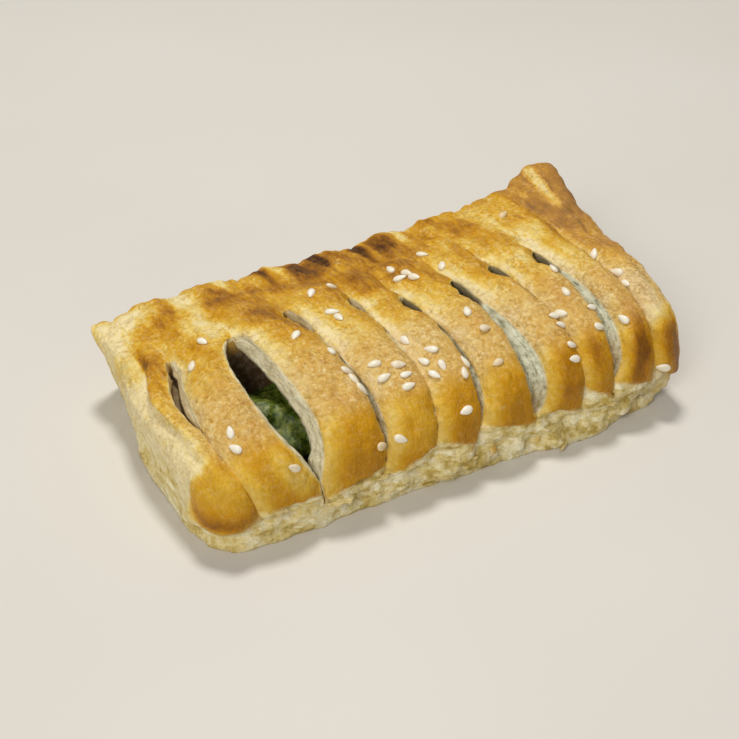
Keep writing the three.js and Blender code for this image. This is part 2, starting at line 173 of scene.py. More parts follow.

# Browning of the glazed skin by way: along a strip's middle, and how much paler its two edges are, partly
# less browned and partly a painted highlight on their rounded edges
CROWN_WAY = (-1.5, -0.6, 0, 0.3, 0.8, 1.0, 1.35, 1.75, 2.05, 2.3, 2.8, 3.1)
CROWN_BROWN = (0.3, 0.44, 0.5, 0.49, 0.46, 0.34, 0.27, 0.31, 0.4, 0.53, 0.56, 0.55)
EDGE_WAY = (0.55, 0.95, 1.3, 2.0, 2.8)
LEFT_EDGE_PALER = (0, 0.3, 0.24, 0.2, 0.3)
RIGHT_EDGE_PALER = (0, 0.1, 0.12, 0.2, 0.25)

# Darker and paler patches of the skin: (line, way, half size in lines, half size in ways, how much browner)
BAKED_PATCHES = (
    (0.35, 0.1, 0.75, 0.45, -0.3), (0.35, 0.8, 0.45, 0.26, 0.24), (0.2, 1.85, 0.6, 0.4, -0.24),
    (0.4, 2.15, 0.6, 0.2, -0.06), (1.15, 0.1, 0.45, 0.3, -0.24), (1.45, 0.38, 0.22, 0.15, 0.1),
    (1.85, 0.3, 0.2, 0.6, -0.34), (1.7, 0.75, 0.35, 0.2, -0.2), (1.25, 1.05, 0.35, 0.3, 0.16),
    (1.3, 2.5, 0.35, 0.4, -0.06), (1.78, 2.6, 0.25, 0.35, -0.26), (2.25, 0.4, 0.3, 0.2, 0.1),
    (2.56, 0.08, 0.15, 0.28, -0.34), (2.65, 0.95, 0.4, 0.45, 0.18), (3.22, -0.08, 0.13, 0.46, 0.56),
    (3.45, 0.12, 0.1, 0.28, -0.4), (3.75, 0.3, 0.3, 0.25, 0.18), (3.5, 2.5, 0.5, 0.35, -0.1),
    (4.32, -0.06, 0.14, 0.5, 0.56), (4.6, 0.4, 2.0, 0.5, 0.12), (4.15, 0.1, 0.45, 0.4, 0.24),
    (4.5, 0.78, 0.5, 0.25, 0.1), (5.3, -0.06, 0.12, 0.48, 0.6), (5.68, 0.22, 0.24, 0.22, 0.28),
    (5.5, 0.85, 0.5, 0.3, 0.12), (6.17, 0.15, 0.14, 0.3, -0.36), (6.65, 0.25, 0.3, 0.25, 0.12),
    (6.6, 1.1, 0.4, 0.3, 0.12), (6.5, 2.5, 0.4, 0.35, 0.08), (7.04, 0.2, 0.1, 0.2, 0.2),
    (7.4, 0.45, 0.3, 0.25, 0.12), (7.65, 1.08, 0.18, 0.1, -0.2), (7.5, 1.6, 0.4, 0.3, 0.08),
    (7.4, 2.3, 0.35, 0.22, 0.12), (7.95, 0.6, 0.25, 0.2, -0.2), (8.3, 0.8, 0.4, 0.2, -0.26),
    (8.6, 1.9, 0.4, 0.3, 0.14), (8.5, 2.5, 0.4, 0.4, 0.24), (9.28, 0.35, 0.3, 0.4, 0.02),
    (9.3, 0.9, 0.3, 0.3, 0.1), (9.62, 0.12, 0.15, 0.5, -0.56), (9.35, 1.85, 0.5, 0.42, -0.38),
    (9.4, 2.55, 0.4, 0.3, 0.16),
)

# Spots of glaze that ran down over the bare front: (line, way, half size in lines, half size in ways)
GLAZE_RUNS = (
    (3.16, 3.02, 0.16, 0.14),
    (5.31, 3.43, 0.07, 0.12),
    (6.09, 3.56, 0.06, 0.1),
    (4.84, 3.06, 0.1, 0.1),
)

# The raised and browned corner at the front left
BULGE_MIDDLE = (-57.0, -36.5, 13.0)
BULGE_RADIUS = 9.5
BULGE_HEIGHT = 1.0

# Filling: its middle and half sizes, the swelling that shows in the widest cut, and its grid
FILLING_MIDDLE = (-1.0, -15.0, 11.1)
FILLING_HALF = (46.5, 15.5, 6.4)
FILLING_SQUARE = 2.5
FILLING_DOME = (-37.0, -17.0, 17.0)
FILLING_DOME_RADIUS = 7.0
FILLING_DOME_HEIGHT = 2.0
FILLING_RINGS = 361
FILLING_AROUND = 200

# Sesame seeds: size, how deep they sit, how far apart, tries for each, grid, and patches as (line from,
# line to, way from, way to, count)
SEED_LENGTH = 3.4
SEED_WIDTH = 1.9
SEED_THICK = 1.2
SEED_SUNK = 0.4
SEED_APART = 2.6
SEED_TRIES = 30
SEED_RINGS = 17
SEED_AROUND = 16
SEED_PATCHES = (
    (0.1, 0.4, 1.0, 1.16, 2), (1.3, 1.6, 0.88, 1.12, 2), (1.4, 1.68, 1.38, 1.6, 4),
    (1.2, 1.3, 1.75, 2.0, 2), (1.55, 1.85, 2.46, 2.56, 2), (2.5, 2.7, 1.1, 1.25, 1),
    (3.3, 3.9, 0.62, 0.82, 2), (3.34, 3.46, 0.98, 1.12, 2), (2.8, 2.93, 1.35, 1.9, 4),
    (3.28, 3.4, 1.64, 1.88, 2), (3.62, 3.8, 1.7, 2.02, 3), (4.08, 4.16, 1.4, 1.5, 1),
    (4.12, 4.46, 1.64, 1.98, 4), (4.7, 4.86, 1.7, 2.06, 2), (4.34, 4.56, 2.37, 2.55, 2),
    (2.8, 3.5, 2.54, 2.66, 2), (5.2, 5.54, 0.6, 0.92, 4), (5.8, 6.45, 0.54, 0.94, 2),
    (5.46, 5.62, 1.36, 1.7, 2), (5.24, 5.4, 2.0, 2.06, 1), (6.78, 7.14, 1.7, 1.86, 3),
    (7.4, 7.8, 1.3, 1.84, 3), (6.5, 6.9, 2.16, 2.4, 2), (7.55, 7.7, 2.0, 2.1, 1),
    (8.3, 8.8, 0.42, 0.5, 1), (9.08, 9.2, 1.24, 1.7, 3), (8.3, 8.4, 2.05, 2.12, 1),
    (9.18, 9.24, 2.82, 2.86, 1),
)
SEED_START = 3327
LOOKS_START = 5113

# Torn flakes along the foot: (x from, x to, y from, y to, z from, z to, count)
FLAKE_PATCHES = (
    (-44, 46, -46, -46, 3.5, 7.0, 9),
    (-48, 54, 42, 42, 3.5, 8.0, 9),
    (72, 72, -24, 22, 3.5, 8.0, 3),
)
FLAKE_THICK = 0.18
FLAKE_COLUMNS = 9
FLAKE_ROWS = 5

# Camera, read from the photograph's perspective: image width and focal length in pixels, degrees, millimetres
IMAGE_PIXELS = 739
FOCAL_PIXELS = 1450
CAMERA_TILT = 33.5
PASTRY_TURN = 29.0
CAMERA_PLACE = (-143.3, -254.8, 200.0)

# Lights as (place in metres, size in metres, power in watts), and the light of the room
LIGHTS = dict(
    overhead=((0.1, 0.28, 0.92), 0.2, 5.4),
    left=((-0.75, -0.62, 0.75), 0.5, 6.2),
)
LIGHT_COLOUR = (1.0, 0.98, 0.95)
ROOM_COLOUR = (0.97, 0.98, 1.0, 1.0)
ROOM_STRENGTH = 0.3

# Floor in metres: its reach to the front and to its bend, half width, the bend's radius and the height behind
FLOOR_FRONT = 1.2
FLOOR_BEND = 0.9
FLOOR_HALF = 2.0
FLOOR_RADIUS = 0.4
FLOOR_TOP = 1.6


def mix(low, high, share):
    return low + (high - low) * share


def smooth(low, high, value):
    share = np.clip((value - low) / (high - low), 0.0, 1.0)
    return share * share * (3.0 - 2.0 * share)


def band(value, rise_from, rise_to, fall_from, fall_to):
    """1 over a band of values and 0 outside it, with a soft rise and a soft fall."""
    return smooth(rise_from, rise_to, value) * smooth(fall_to, fall_from, value)


def through_three(values, share):
    """A curve through three values, at 0, 0.5 and 1."""
    first, middle, last = values
    from_first = first * (1 - share) * (1 - 2 * share)
    from_last = last * share * (2 * share - 1)
    return from_first + middle * 4 * share * (1 - share) + from_last


def lattice(ix, iy, iz, seed):
    """A repeatable number from 0 to 1 for each cell corner."""
    code = (ix * 73856093) ^ (iy * 19349663) ^ (iz * 83492791) ^ (seed * 2654435761)
    code = (code ^ (code >> 13)) * 1274126177 & 0x7FFFFFFF
    code = (code ^ (code >> 16)) & 0xFFFFFF
    return code / float(0xFFFFFF)


def noise(points, size, seed):
    """Smooth noise from -1 to 1 with cells of that size in millimetres, one size or one for each axis."""
    cell = points / np.asarray(size, float)
    base = np.floor(cell).astype(np.int64)
    part = cell - base
    part = part * part * (3.0 - 2.0 * part)
    total = np.zeros(len(points))
    for step in np.ndindex(2, 2, 2):
        weight = np.prod(np.where(step, part, 1.0 - part), axis=1)
        total += weight * lattice(*(base + step).T, seed)
    return 2.0 * total - 1.0


def domes(points, size, share, seed):
    """Scattered round domes from 0 to 1, in a share of the cells of that size in millimetres."""
    cell = points / size
    base = np.floor(cell).astype(np.int64)
    height = np.zeros(len(points))
    for step in np.ndindex(3, 3, 3):
        corner = base + np.array(step) - 1
        centre = corner + np.stack([lattice(*corner.T, seed + k) for k in (1, 2, 3)], -1)
        radius = 0.25 + 0.4 * lattice(*corner.T, seed + 4)
        present = lattice(*corner.T, seed) < share
        dome = np.clip(1 - np.sum((cell - centre) ** 2, axis=1) / radius ** 2, 0, 1)
        height = np.maximum(height, dome * present)
    return height


def plates(points, size, seed):
    """Noise in flat steps with torn edges, from about -1 to 1."""
    level = 2.5 * noise(points, size, seed)
    step = np.floor(level)
    return (step + smooth(0.7, 1.0, level - step)) / 2.5


def slit_share(b, c):
    """Share of a slit line's run, from its back end to the foot, at a place on the box round the crust."""
    way = 1 - b + (1 - c) * smooth(0, 1, -b)
    return np.clip((way - SLIT_RUN_FROM) / SLIT_RUN, 0, 1) ** SLIT_RUN_POWER


def line_x(line, b, share):
    """x between the slit lines, with the two ends of the crust as the first and last line."""
    lines = [through_three(LEFT_EDGE, (b + 1) / 2)]
    lines += [through_three(slit["x"], share) for slit in SLITS]
    lines += [through_three(RIGHT_EDGE, (b + 1) / 2)]
    lines = np.stack(lines)
    low = np.clip(np.floor(line).astype(int), 0, LINES - 1)
    x_low = np.take_along_axis(lines, low[None], 0)[0]
    x_high = np.take_along_axis(lines, low[None] + 1, 0)[0]
    return mix(x_low, x_high, line - low)


def belly_height(qx, qy):
    along = mix(FRONT_BELLY, BACK_BELLY, smooth(-0.5, 1, qy))
    left = through_three(LEFT_HEIGHT, (qy + 1) / 2)
    right = through_three(RIGHT_HEIGHT, (qy + 1) / 2)
    along = mix(along, left, smooth(1 - END_STRETCH, 1, -qx))
    return mix(along, right, smooth(1 - END_STRETCH, 1, qx))


def skin(a, b, c):
    """Bare skin of the crust from places on a box from -1 to 1: a to the right, b to the back, c upwards."""
    a, b, c = np.broadcast_arrays(*(np.asarray(value, float) for value in (a, b, c)))
    up = np.maximum(c, 0)
    square = np.where(b < 0, FRONT_SQUARE, BACK_SQUARE)
    side = np.maximum(np.maximum(np.abs(b), up), 1e-9)
    section = (np.abs(b) ** square + up ** square) ** (1 / square) / side
    section = np.maximum(section, 1e-9)
    top_share = up / np.maximum(np.abs(b) + up, 1e-9)
    corner_square = np.where(a < 0, LEFT_CORNER_SQUARE, RIGHT_CORNER_SQUARE)
    end_square = mix(corner_square, np.where(a < 0, LEFT_TOP_SQUARE, RIGHT_TOP_SQUARE), top_share)
    reach = np.maximum(np.maximum(np.abs(a), side), 1e-9)
    rounding = (side ** end_square + np.abs(a) ** end_square) ** (1 / end_square) / reach
    qx, qy, qz = a / rounding, b / (rounding * section), up / (rounding * section)

    x = line_x((qx + 1) * LINES / 2, qy, slit_share(b, c))
    x = x + LEFT_HOLLOW * smooth(0.6, 1, -qx) * band(qy, 0, 0.45, 0.6, 1)
    y = qy * np.where(qy < 0, FRONT_HALF, BACK_HALF)
    belly = belly_height(qx, qy)
    rise = np.interp(x, CREST_X, CREST_Z) - belly
    fall = np.interp(x, BACK_FALL_X, BACK_FALL_Z) * np.maximum(qy, 0) ** 1.5
    z = belly + (rise - fall) * qz

    down = np.maximum(-c, 0)
    share = (qy + 1) / 2
    foot_left = through_three(LEFT_FOOT, share) / through_three(LEFT_EDGE, share)
    foot_right = through_three(RIGHT_FOOT, share) / through_three(RIGHT_EDGE, share)
    foot_x = np.where(x < 0, foot_left, foot_right)
    foot_y = np.where(y < 0, np.interp(x, FOOT_X, FOOT_Y) / FRONT_HALF, BACK_FOOT / BACK_HALF)
    wall_power = np.where(x < 0, LEFT_WALL_POWER, WALL_POWER)
    x = x * mix(1, foot_x, down ** wall_power * smooth(0.6, 1, np.abs(qx)))
    y = y * mix(1, foot_y, down * down)
    z = z * (1 - UNDERCUT * down)
    far_corner = smooth(0.3, 1, qy) * (1 - UNDERCUT * down)
    z = z + far_corner * (LEFT_TIP_LIFT * smooth(0.45, 1, -qx) + RIGHT_TIP_LIFT * smooth(0.7, 1, qx))
    return np.stack([x, y, np.maximum(z, 0)], -1)


def surface(line, way):
    """Bare skin by line and way."""
    b = np.clip(1 - way, -1, 1)
    c = np.where(way < 0, 1 + way, np.where(way > 2, 3 - way, 1.0))
    return skin(2 * line / LINES - 1, b, c)


def outward(line, way):
    """Unit normals of the bare skin."""
    step = 0.03
    line = np.clip(line, step, LINES - step)
    way = np.clip(way, -1.9 + step, 3.8 - step)
    along = surface(line + step, way) - surface(line - step, way)
    over = surface(line, way - step) - surface(line, way + step)
    normal = np.cross(along, over)
    return normal / np.maximum(np.linalg.norm(normal, axis=-1, keepdims=True), 1e-9)


def strip_of(line):
    """The strip at a line, and the place across it from -1 at its left edge to 1 at its right."""
    strip = np.clip(np.floor(line), 0, LINES - 1).astype(int)
    return strip, 2 * (line - strip) - 1


def back_bumps(x):
    """Round folds along the back edge with sharp grooves between them, from -1 to 1."""
    return 2 * np.abs(np.cos(np.pi * (x - BUMP_START) / BUMP_PITCH)) ** 0.7 - 1


def relief(line, way, x):
    """Height of the skin over its bare form: valleys at the slit lines and bumps along the back edge."""
    strip, across = strip_of(line)
    sags = np.array([0.0] + [slit["sag"] for slit in SLITS] + [0.0])
    sag = np.where(across < 0, sags[strip], sags[strip + 1])
    inside = smooth(0, 0.8, line) * smooth(0, 0.8, LINES - line)
    valley = sag * np.interp(way, VALLEY_WAY, VALLEY_DEPTH) * np.abs(across) ** VALLEY_SHARPNESS * inside
    near_back = band(way, -1.4, -0.4, 0.1, 0.55) * inside
    return BUMP_HEIGHT * near_back * back_bumps(x) - valley


def lens(way, cut, power):
    """Share of a cut's widest gap at a way: 0 at both its ends, by the powers of its back and front end."""
    if cut is None:
        return np.zeros_like(way)
    run = np.clip((way - cut[0]) / (cut[1] - cut[0]), 0, 1)
    middle = 2 * run ** cut[3] - 1
    return np.clip(1 - middle * middle, 0, 1) ** mix(*power, smooth(0.2, 0.9, run))


def cut_gaps(slit, way):
    """How far a slit's opening and groove reach from its line, to its left and to its right."""
    opening = lens(way, slit.get("opening"), OPENING_POWER)
    groove = lens(way, slit.get("groove"), GROOVE_POWER)
    gap, lean = slit["opening"][2::2] if slit.get("opening") else (0, 0)
    half = slit["groove"][2] / 2 if slit.get("groove") else 0
    left = np.maximum(lean * gap * opening, half * groove)
    right = np.maximum((1 - lean) * gap * opening, GROOVE_TO_RIGHT * half * groove)
    return left, right


def seam_share(seam, way):
    """Strength of a slit's seam at a way."""
    if seam is None:
        return np.zeros_like(way)
    return seam[2] * lens(way, (seam[0], seam[1], 0, 1.0), SEAM_POWER)


def slit_gaps(index, way):
    """How far the strips stand back from a slit line, to its left and to its right."""
    if index in (0, LINES):
        return np.zeros_like(way), np.zeros_like(way)
    slit = SLITS[index - 1]
    seam = SEAM_HALF * seam_share(slit.get("seam"), way)
    left, right = cut_gaps(slit, way)
    return np.maximum(left, seam), np.maximum(right, seam)


def strip_points(strip, way):
    """A strip's skin as a grid of rows by columns, with its places."""
    across = np.linspace(0, 1, COLUMNS_PER_STRIP + 1)[None, :]
    rows = way[:, None] + 0 * across
    line = strip + across + 0 * rows
    points = surface(line, rows)
    lift = relief(np.minimum(line, strip + 0.999999), rows, points[..., 0])
    lift = lift * smooth(0, 1.5, points[..., 2])
    points = points + outward(line, rows) * lift[..., None]
    right_of_slit = slit_gaps(strip, way)[1][:, None]
    left_of_slit = slit_gaps(strip + 1, way)[0][:, None]
    points[..., 0] += (1 - across) * right_of_slit - across * left_of_slit
    return points, line, rows


def opened_share(slit, way):
    """1 along a slit's opening and just past its ends, where the slit looks open."""
    first, last = slit["opening"][:2]
    return band(way, first - 0.04, first - 0.01, last + 0.01, last + 0.04)


def grooved_share(slit, way):
    """1 along a slit's groove, where its wall looks like a groove's."""
    return smooth(0, 0.3, lens(way, slit.get("groove"), GROOVE_FLOOR_POWER))


def slit_corners(index, way):
    """Corners of a slit's section from its left edge to its right: offsets from its line, and depths."""
    slit = SLITS[index - 1]
    kind = OPENINGS[slit["kind"]]
    left, right = slit_gaps(index, way)
    first, last, gap = slit["opening"][:3]
    width = gap * lens(way, slit.get("opening"), OPENING_POWER)
    through = band(way, first + 0.005, first + 0.03, last - 0.03, last - 0.005)
    groove = lens(way, slit.get("groove"), GROOVE_FLOOR_POWER)
    seam = seam_share(slit["seam"], way)

    depth_share = (slit["groove"][2] / WIDEST_GROOVE) ** 0.5 if slit.get("groove") else 0
    cut_depth = np.maximum(GROOVE_DEPTH * depth_share * groove, SEAM_DEPTH * seam)
    groove_foot = np.where(groove > 0, -left + 0.3 * groove, -0.3 * left)
    wall_depth = mix(cut_depth, kind["wall"][1], through)
    wall_foot = mix(groove_foot, right - np.minimum(kind["wall"][0], 0.7 * width), through)
    bevel = mix(*kind["bevel"][:2], smooth(*INSIDE_WAYS, way))
    bevel = mix(0.1 * left, np.minimum(bevel, 0.25 * width), through)
    bevel_depth = mix(cut_depth, kind["bevel"][2], through)
    under = through * kind["under"]
    floor = mix(cut_depth + 0.05 * seam, kind["floor"], through)
    lip = bevel - left
    corners = (
        (-left, 0 * way),
        (lip, bevel_depth),
        (lip - under, bevel_depth + 0.3 * under),
        (lip - under, floor),
        (np.maximum(wall_foot + under, lip), floor),
        (wall_foot + under, wall_depth + 0.3 * under),
        (wall_foot, wall_depth),
        (right, 0 * way),
    )
    return np.array(corners)


def slit_gloom(slit, way):
    """How shaded each corner of a slit's section is, from 0 to 1."""
    rows = (SEAM_GLOOM, GROOVE_GLOOM, GROOVE_SHADOW, OPENINGS[slit["kind"]]["gloom"])
    at_seam, in_groove, in_shadow, in_opening = np.array(rows)[..., None]
    gloom = mix(at_seam, in_groove, grooved_share(slit, way))
    if slit.get("shadow"):
        gloom = np.maximum(gloom, in_shadow * smooth(*slit["shadow"], way))
    return mix(gloom, in_opening, opened_share(slit, way))


def slit_points(index, way):
    """The walls of a slit as a grid: down the left strip's edge, over the floor and up the right wall."""
    slit = SLITS[index - 1]
    corners = np.concatenate([slit_corners(index, way), slit_gloom(slit, way)[:, None]], 1)
    last = len(SLIT_COLUMNS)
    stations = [k + np.arange(count) / count for k, count in enumerate(SLIT_COLUMNS)]
    stations = np.concatenate(stations + [[last]])
    low = np.minimum(stations.astype(int), last - 1)
    part = (stations - low)[:, None, None]
    path = corners[low] * (1 - part) + corners[low + 1] * part
    offset, depth, gloom = path[:, 0].T, path[:, 1].T, path[:, 2].T

    line = np.full_like(offset, float(index))
    rows = way[:, None] + 0 * offset
    points = surface(line, rows)
    normal = outward(line, rows)
    lift = relief(line - 1e-6, rows, points[..., 0]) * smooth(0, 1.5, points[..., 2])
    points = points + normal * (lift - depth)[..., None]
    points[..., 0] += offset
    opened = opened_share(slit, way)
    # How far the inside is painted near-black as shade: a quarter along seams and grooves, and by the kind of
    # opening in an opening
    black = mix(0.25, mix(*OPENINGS[slit["kind"]]["black"], smooth(*INSIDE_WAYS, way)), opened)
    green = grooved_share(slit, way) * (1 - opened)
    return points, line, rows, depth, gloom, black[:, None] + 0 * offset, green[:, None] + 0 * offset


def row_ways():
    """Ways of the grid's rows, about evenly spaced over the section."""
    wall = np.linspace(-1 / UNDERCUT, 1, ROWS_WALL + 1)
    top = np.linspace(0, 2, ROWS_TOP + 1)
    return np.concatenate([wall[:-1] - 1, top, 3 - wall[-2::-1]])


def grid_faces(rows, columns, start):
    index = start + np.arange(rows * columns).reshape(rows, columns)
    return np.stack([index[:-1, :-1], index[:-1, 1:], index[1:, 1:], index[1:, :-1]], -1).reshape(-1, 4)


def crust_arrays():
    """Faces of the crust, and its points before their fine relief with their places and looks in a cut."""
    way = row_ways()
    blocks = []
    for strip in range(LINES):
        place, line, row = strip_points(strip, way)
        blocks.append((place, line, row, *[0 * line] * 4))
        if strip < LINES - 1 and "seam" in SLITS[strip]:
            blocks.append(slit_points(strip + 1, way))
    columns = [np.concatenate(parts, 1) for parts in zip(*blocks)]
    rows, width = columns[1].shape
    faces = [grid_faces(rows, width, 0)]
    groups = [[column.reshape(-1, 3) if column.ndim == 3 else column.ravel() for column in columns]]

    b = 1 - np.linspace(0, 2, ROWS_TOP + 1)[None, :]
    c = np.linspace(-1 / UNDERCUT, 1, ROWS_WALL + 1)[:, None]
    start = rows * width
    for a, line in ((-1.0, 0.0), (1.0, float(LINES))):
        end = skin(a, b, c).reshape(-1, 3)
        way_there = mix(1 - b + 0 * c, 3 - c + 0 * b, smooth(0.5, 1, -b))
        way_there = mix(way_there, c - 1 + 0 * b, smooth(0.5, 1, b)).ravel()
        groups.append([end, np.full(len(end), line), way_there, *[np.zeros(len(end))] * 4])
        faces.append(grid_faces(ROWS_WALL + 1, ROWS_TOP + 1, start))
        start += len(end)
    values = [np.concatenate(parts) for parts in zip(*groups)]
    return np.concatenate(faces), values


def weld(points, faces, values=()):
    """Merges points that coincide and drops the faces that vanish."""
    keys = np.round(points, 3)
    _, first, inverse = np.unique(keys, axis=0, return_index=True, return_inverse=True)
    inverse = inverse.reshape(-1)
    kept = []
    for face in inverse[faces]:
        corners = list(dict.fromkeys(face.tolist()))
        if len(corners) > 2:
            kept.append(corners)
    return points[first], kept, [value[first] for value in values]


def to_frame(points):
    """Places in the frame, in metres, of points in millimetres on the pastry's own plan."""
    return (np.asarray(points) - FRAME_ORIGIN) * MM


def to_plan(places):
    """Points in millimetres on the pastry's own plan, of places in the frame in metres."""
    return np.asarray(places) / MM + FRAME_ORIGIN


def add_object(name, data):
    made = bpy.data.objects.new(name, data)
    bpy.context.scene.collection.objects.link(made)
    return made


def smooth_mesh(name, places, faces):
    """An object at the frame's origin with smooth faces, from places in metres."""
    mesh = bpy.data.meshes.new(name)
    mesh.from_pydata(np.asarray(places).tolist(), [], [list(face) for face in faces])
    mesh.polygons.foreach_set("use_smooth", np.ones(len(mesh.polygons), bool))
    return add_object(name, mesh)


def new_piece(name, points, faces):
    """A piece of the pastry from points in millimetres on its own plan."""
    made = smooth_mesh(name, to_frame(points), faces)
    turn_outwards(made)
    return made


def turn_outwards(made, close=False):
    """Turns every face outwards, and closes an open underside with flat triangles."""
    work = bmesh.new()
    work.from_mesh(made.data)
    if close:
        rim = [edge for edge in work.edges if edge.is_boundary]
        under = bmesh.ops.holes_fill(work, edges=rim, sides=0)["faces"]
        bmesh.ops.triangulate(work, faces=under)
    bmesh.ops.recalc_face_normals(work, faces=work.faces)
    work.to_mesh(made.data)
    work.free()


def vertex_vectors(made, name):
    numbers = np.empty(len(made.data.vertices) * 3)
    made.data.vertices.foreach_get(name, numbers)
    return numbers.reshape(-1, 3)


def push_out(made, points, shift):
    """Moves the vertices of a piece from their points by a shift in millimetres."""
    made.data.vertices.foreach_set("co", to_frame(points + shift).ravel())
    made.data.update()


def add_values(made, **values):
    for name, numbers in values.items():
        attribute = made.data.attributes.new(name, "FLOAT", "POINT")
        attribute.data.foreach_set("value", np.asarray(numbers, np.float32))


def bare_share(points, line, way):
    """How bare of glaze the dough is: 1 at the foot, sharp-edged in front and soft-edged on the left."""
    strip, across = strip_of(line)
    foot = np.array(GLAZE_FOOT)
    ragged = 0.5 * noise(points, 6.0, 3) + 0.4 * noise(points, 2.0, 4)
    front = mix(foot[strip, 0], foot[strip, 1], (across + 1) / 2)
    right = np.interp(points[:, 1], (-40, 0, 34), (8, 17, 23))
    at_left = smooth(0.12, 0.0, line) * smooth(2.9, 1.9, way)
    edge = mix(front, 11.5, smooth(1.0, 0.0, way))
    edge = mix(edge, 13.0, at_left)
    edge = mix(edge, right, smooth(LINES - 0.05, LINES, line))
    soft = mix(0.5, 4.0, at_left)
    bare = smooth(1, -1, (points[:, 2] - edge - ragged) / soft)
    for run in GLAZE_RUNS:
        bare *= 1 - 0.75 * patch_share(line, way, run, ragged)
    off_bulge = smooth(BULGE_RADIUS - 2.5, BULGE_RADIUS + 1, from_bulge(points) + ragged)
    return bare * mix(1, off_bulge, smooth(1.05, 0.98, line))


def from_bulge(points):
    return np.linalg.norm(points - np.array(BULGE_MIDDLE), axis=1)


def patch_share(line, way, patch, warp):
    """Share of a soft round patch at places, 1 in its middle."""
    apart = np.hypot((line - patch[0]) / patch[2], (way - patch[1]) / patch[3])
    return smooth(1.3, 0.35, apart * (1 + 0.3 * warp))


def browning(points, line, way):
    """How far the glazed skin has browned, from 0 pale to 1 dark."""
    across = strip_of(line)[1]
    blotch = noise(points, 7.0, 11) + 0.8 * noise(points, 3.6, 12) + 0.4 * noise(points, 1.7, 13)
    streak = noise(points, (1.2, 6.0, 6.0), 14)
    crown = np.interp(way, CROWN_WAY, CROWN_BROWN)
    # Paler strip edges: partly less browned, partly a painted highlight on the rounded edges
    left_edge = np.interp(way, EDGE_WAY, LEFT_EDGE_PALER) * smooth(-0.2, -0.95, across)
    right_edge = np.interp(way, EDGE_WAY, RIGHT_EDGE_PALER) * smooth(0.82, 1.0, across)
    ridge = 0.14 * smooth(0.0, 0.6, across) * band(way, 0.75, 1.0, 1.2, 1.6)
    left_pale = mix(0.24, 0.34, smooth(20.0, 15.0, points[:, 2]))
    left_end = left_pale * smooth(0.2, 0.0, line) * smooth(2.5, 2.1, way)
    lip = 0.26 * smooth(LINES - 0.6, LINES - 0.1, line) * smooth(2.2, 2.7, way)
    right_end = 0.2 * smooth(LINES - 1.3, LINES - 0.9, line) * band(way, -0.8, -0.2, 1.2, 1.7)
    brown = crown - left_edge - right_edge + ridge - left_end + lip + right_end
    warp = noise(points, 4.0, 15)
    for patch in BAKED_PATCHES:
        brown += patch[4] * patch_share(line, way, patch, warp)
    brown -= 0.1 * (1 - back_bumps(points[:, 0])) * smooth(0.5, 0.15, way)
    low = smooth(BULGE_MIDDLE[2] + 2, BULGE_MIDDLE[2] - 6, points[:, 2])
    in_bulge = smooth(BULGE_RADIUS, BULGE_RADIUS - 4, from_bulge(points)) * smooth(1.05, 0.98, line)
    brown = mix(brown, 0.43 + 0.3 * low, in_bulge)
    patchy = mix(0.09, 0.05, smooth(1.9, 2.3, way))
    return np.clip(brown + patchy * blotch + 0.1 * streak * smooth(1.7, 1.1, way), 0, 1)


def pillow_share(line):
    """How far a strip rises from its edges at the slits, from 0 to 1; it runs out softly at the two ends."""
    across = strip_of(line)[1]
    across = np.where(line < 1, np.maximum(across, 0), across)
    across = np.where(line > LINES - 1, np.minimum(across, 0), across)
    return (1 - across ** 2) * band(line, 0, 0.7, LINES - 0.7, LINES)


def fine_relief(points, line, way, bare, wall):
    """Small lumps, blisters and wrinkles on the skin, and torn layers on the bare dough."""
    across = strip_of(line)[1]
    pillow = pillow_share(line) * band(way, 0.9, 1.6, 2.6, 3.3)
    fold = 1.1 * band(across, -1.0, 0.3, 0.4, 1.0) * band(way, 0.3, 0.8, 1.2, 1.9)
    broad = 0.4 * noise(points, 8.0, 21) + 0.3 * noise(points, 3.6, 22)
    blisters = 0.28 * domes(points, 3.0, 0.4, 40) + 0.2 * noise(points, 1.4, 23)
    wrinkles = noise(points, (1.6, 6.0, 6.0), 24) * mix(0.12, 0.4, smooth(2.1, 0.8, way))
    bulge = BULGE_HEIGHT * smooth(BULGE_RADIUS + 1, BULGE_RADIUS - 6, from_bulge(points))
    glazed = pillow + fold + broad + blisters + wrinkles + bulge
    torn = noise(points, (7.0, 7.0, 4.5), 26) + 1.1 * plates(points, (5.0, 5.0, 3.0), 27)
    torn = (torn + 0.35 * noise(points, (2.2, 2.2, 1.4), 25)) * mix(0.5, 1.35, smooth(2.1, 2.6, way))
    cut = 0.16 * noise(points, (4.0, 4.0, 0.8), 28) + 0.12 * noise(points, 0.9, 29)
    recess = mix(0.2, 0.9, smooth(7.9, 8.3, line))
    height = mix(glazed, torn + bulge - recess, bare)
    return mix(height, cut, wall)


def make_crust():
    faces, (points, *values) = crust_arrays()
    points, faces, (line, way, depth, gloom, black, green) = weld(points, faces, values)
    made = new_piece("crust_baked", points, faces)
    points = to_plan(vertex_vectors(made, "co"))
    wall = smooth(0.02, 0.4, depth)
    bare = bare_share(points, line, way) * (1 - wall)
    height = fine_relief(points, line, way, bare, wall)
    off_floor = smooth(0.0, 2.0, points[:, 2])
    height = mix(0.6 * height, height, off_floor)
    shift = vertex_vectors(made, "normal") * height[:, None]
    shift[:, 2] *= off_floor
    push_out(made, points, shift)
    turn_outwards(made, close=True)
    # Painted sheen: a share over the front shoulder and on the top of the right end, where the glaze would
    # reflect the lights
    tan = band(way, 1.15, 1.55, 1.9, 2.25) * smooth(0.6, 1.2, line)
    tan = np.maximum(tan, 0.5 * smooth(8.8, 9.1, line) * smooth(1.5, 1.2, way))
    add_values(made, brown=browning(points, line, way), bare=bare, wall=wall, gloom=gloom, tan=tan,
               black=black, green=green, depth=depth, way=way, line=line)
    return made


